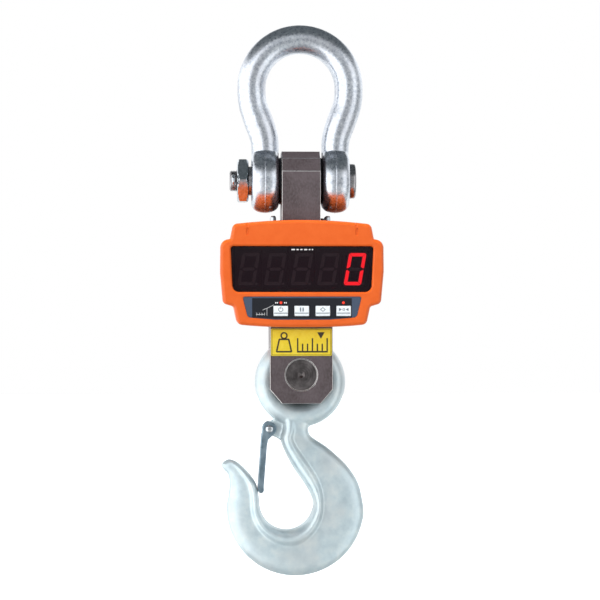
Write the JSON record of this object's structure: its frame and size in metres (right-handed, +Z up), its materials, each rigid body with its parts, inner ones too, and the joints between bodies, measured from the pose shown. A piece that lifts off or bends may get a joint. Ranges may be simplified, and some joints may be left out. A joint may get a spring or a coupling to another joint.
{
  "type": "crane scale",
  "caption": "Hanging crane scale: bow shackle, load cell bar through a display casing with keys, and a latched eye hook.",
  "frame": {"origin": "the seat of the shackle bow, at the lowest point of the crown's inner side, where a crane's hook carries the scale", "axes": "+Z up along the load line, -Y towards the reader of the display, +X to the reader's right"},
  "size_m": [0.192, 0.1209, 0.66],
  "materials": {
    "galvanised_steel": "hot dip galvanised, bright and mottled",
    "zinc_plated_steel": "bright zinc plate",
    "dark_steel": "dark plated sheet and washers",
    "brushed_steel": "brushed alloy steel, brown grey",
    "hook_zinc": "pale blue white zinc plate on a forging",
    "orange_coat": "orange powder coat on die cast aluminium, satin",
    "black_rubber": "matt black",
    "dark_window": "near black tinted acrylic, glossy",
    "digit_module": "potted module with grey segments, the lit one red",
    "keypad_film": "dark printed polyester film",
    "key_white": "white with grey marks",
    "lamp_red": "red lamp lens, emissive",
    "yellow_label": "yellow plate with a black mark",
    "circuit_board": "green solder mask",
    "battery_wrap": "cells in a blue sleeve",
    "black_plastic": "black moulding"
  },
  "bodies": {
    "shackle": {"shackle_bow": "galvanised_steel", "shackle_bolt": "zinc_plated_steel", "shackle_nut": "zinc_plated_steel", "split_pin": "zinc_plated_steel", "spacer_washer_left": "dark_steel", "spacer_washer_right": "dark_steel"},
    "scale": {"keeper_plate": "zinc_plated_steel", "keeper_bolt_left": "zinc_plated_steel", "keeper_bolt_right": "zinc_plated_steel", "case_screw_upper_left": "zinc_plated_steel", "case_screw_upper_right": "zinc_plated_steel", "case_screw_lower_left": "zinc_plated_steel", "case_screw_lower_right": "zinc_plated_steel", "mount_bracket_left": "zinc_plated_steel", "mount_bracket_right": "zinc_plated_steel", "bracket_screw_front_left": "zinc_plated_steel", "bracket_screw_front_right": "zinc_plated_steel", "bracket_screw_rear_left": "zinc_plated_steel", "bracket_screw_rear_right": "zinc_plated_steel", "battery_cover_screw_upper": "zinc_plated_steel", "battery_cover_screw_lower": "zinc_plated_steel", "load_cell_body": "brushed_steel", "gauge_cover_front": "brushed_steel", "gauge_cover_rear": "brushed_steel", "hook_pin": "brushed_steel", "front_shell": "orange_coat", "rear_shell": "orange_coat", "battery_cover": "orange_coat", "case_gasket_left": "black_rubber", "case_gasket_right": "black_rubber", "top_seal": "black_rubber", "bottom_seal": "black_rubber", "signal_cable": "black_rubber", "display_window": "dark_window", "led_digit_1": "digit_module", "led_digit_2": "digit_module", "led_digit_3": "digit_module", "led_digit_4": "digit_module", "led_digit_5": "digit_module", "keypad_overlay": "keypad_film", "unit_led": "lamp_red", "stable_led": "lamp_red", "capacity_label": "yellow_label", "display_board": "circuit_board", "keypad_board": "circuit_board", "main_board": "circuit_board", "battery": "battery_wrap", "charge_socket": "black_plastic"},
    "hook_body": {"hook": "hook_zinc", "latch_pin": "zinc_plated_steel"},
    "latch_body": {"latch": "dark_steel", "latch_spring": "zinc_plated_steel"},
    "key_power_body": {"key_power": "key_white"},
    "key_hold_body": {"key_hold": "key_white"},
    "key_tare_body": {"key_tare": "key_white"},
    "key_zero_body": {"key_zero": "key_white"},
    "charge_cap_body": {"charge_cap": "black_rubber"}
  },
  "joints": [
    {"name": "scale_swing", "type": "hinge", "parent": "shackle", "child": "scale", "pos_m": [0, 0, -0.153], "axis": [1, 0, 0], "range_deg": [-90, 90]},
    {"name": "hook_swing", "type": "hinge", "parent": "scale", "child": "hook_body", "pos_m": [0, 0, -0.384], "axis": [0, 1, 0], "range_deg": [-70, 70]},
    {"name": "latch_swing", "type": "hinge", "parent": "hook_body", "child": "latch_body", "pos_m": [-0.037, 0, -0.4495], "axis": [0, -1, 0], "range_deg": [0, 28], "stiffness_Nm_per_rad": 0.05, "springref_deg": -57.3},
    {"name": "key_power_press", "type": "slide", "parent": "scale", "child": "key_power_body", "axis": [0, 1, 0], "range_m": [0, 0.0008], "stiffness_N_per_m": 200, "springref_m": -0.002},
    {"name": "key_hold_press", "type": "slide", "parent": "scale", "child": "key_hold_body", "axis": [0, 1, 0], "range_m": [0, 0.0008], "stiffness_N_per_m": 200, "springref_m": -0.002},
    {"name": "key_tare_press", "type": "slide", "parent": "scale", "child": "key_tare_body", "axis": [0, 1, 0], "range_m": [0, 0.0008], "stiffness_N_per_m": 200, "springref_m": -0.002},
    {"name": "key_zero_press", "type": "slide", "parent": "scale", "child": "key_zero_body", "axis": [0, 1, 0], "range_m": [0, 0.0008], "stiffness_N_per_m": 200, "springref_m": -0.002},
    {"name": "charge_cap_pull", "type": "slide", "parent": "scale", "child": "charge_cap_body", "axis": [0, 0, 1], "range_m": [0, 0.012]}
  ]
}
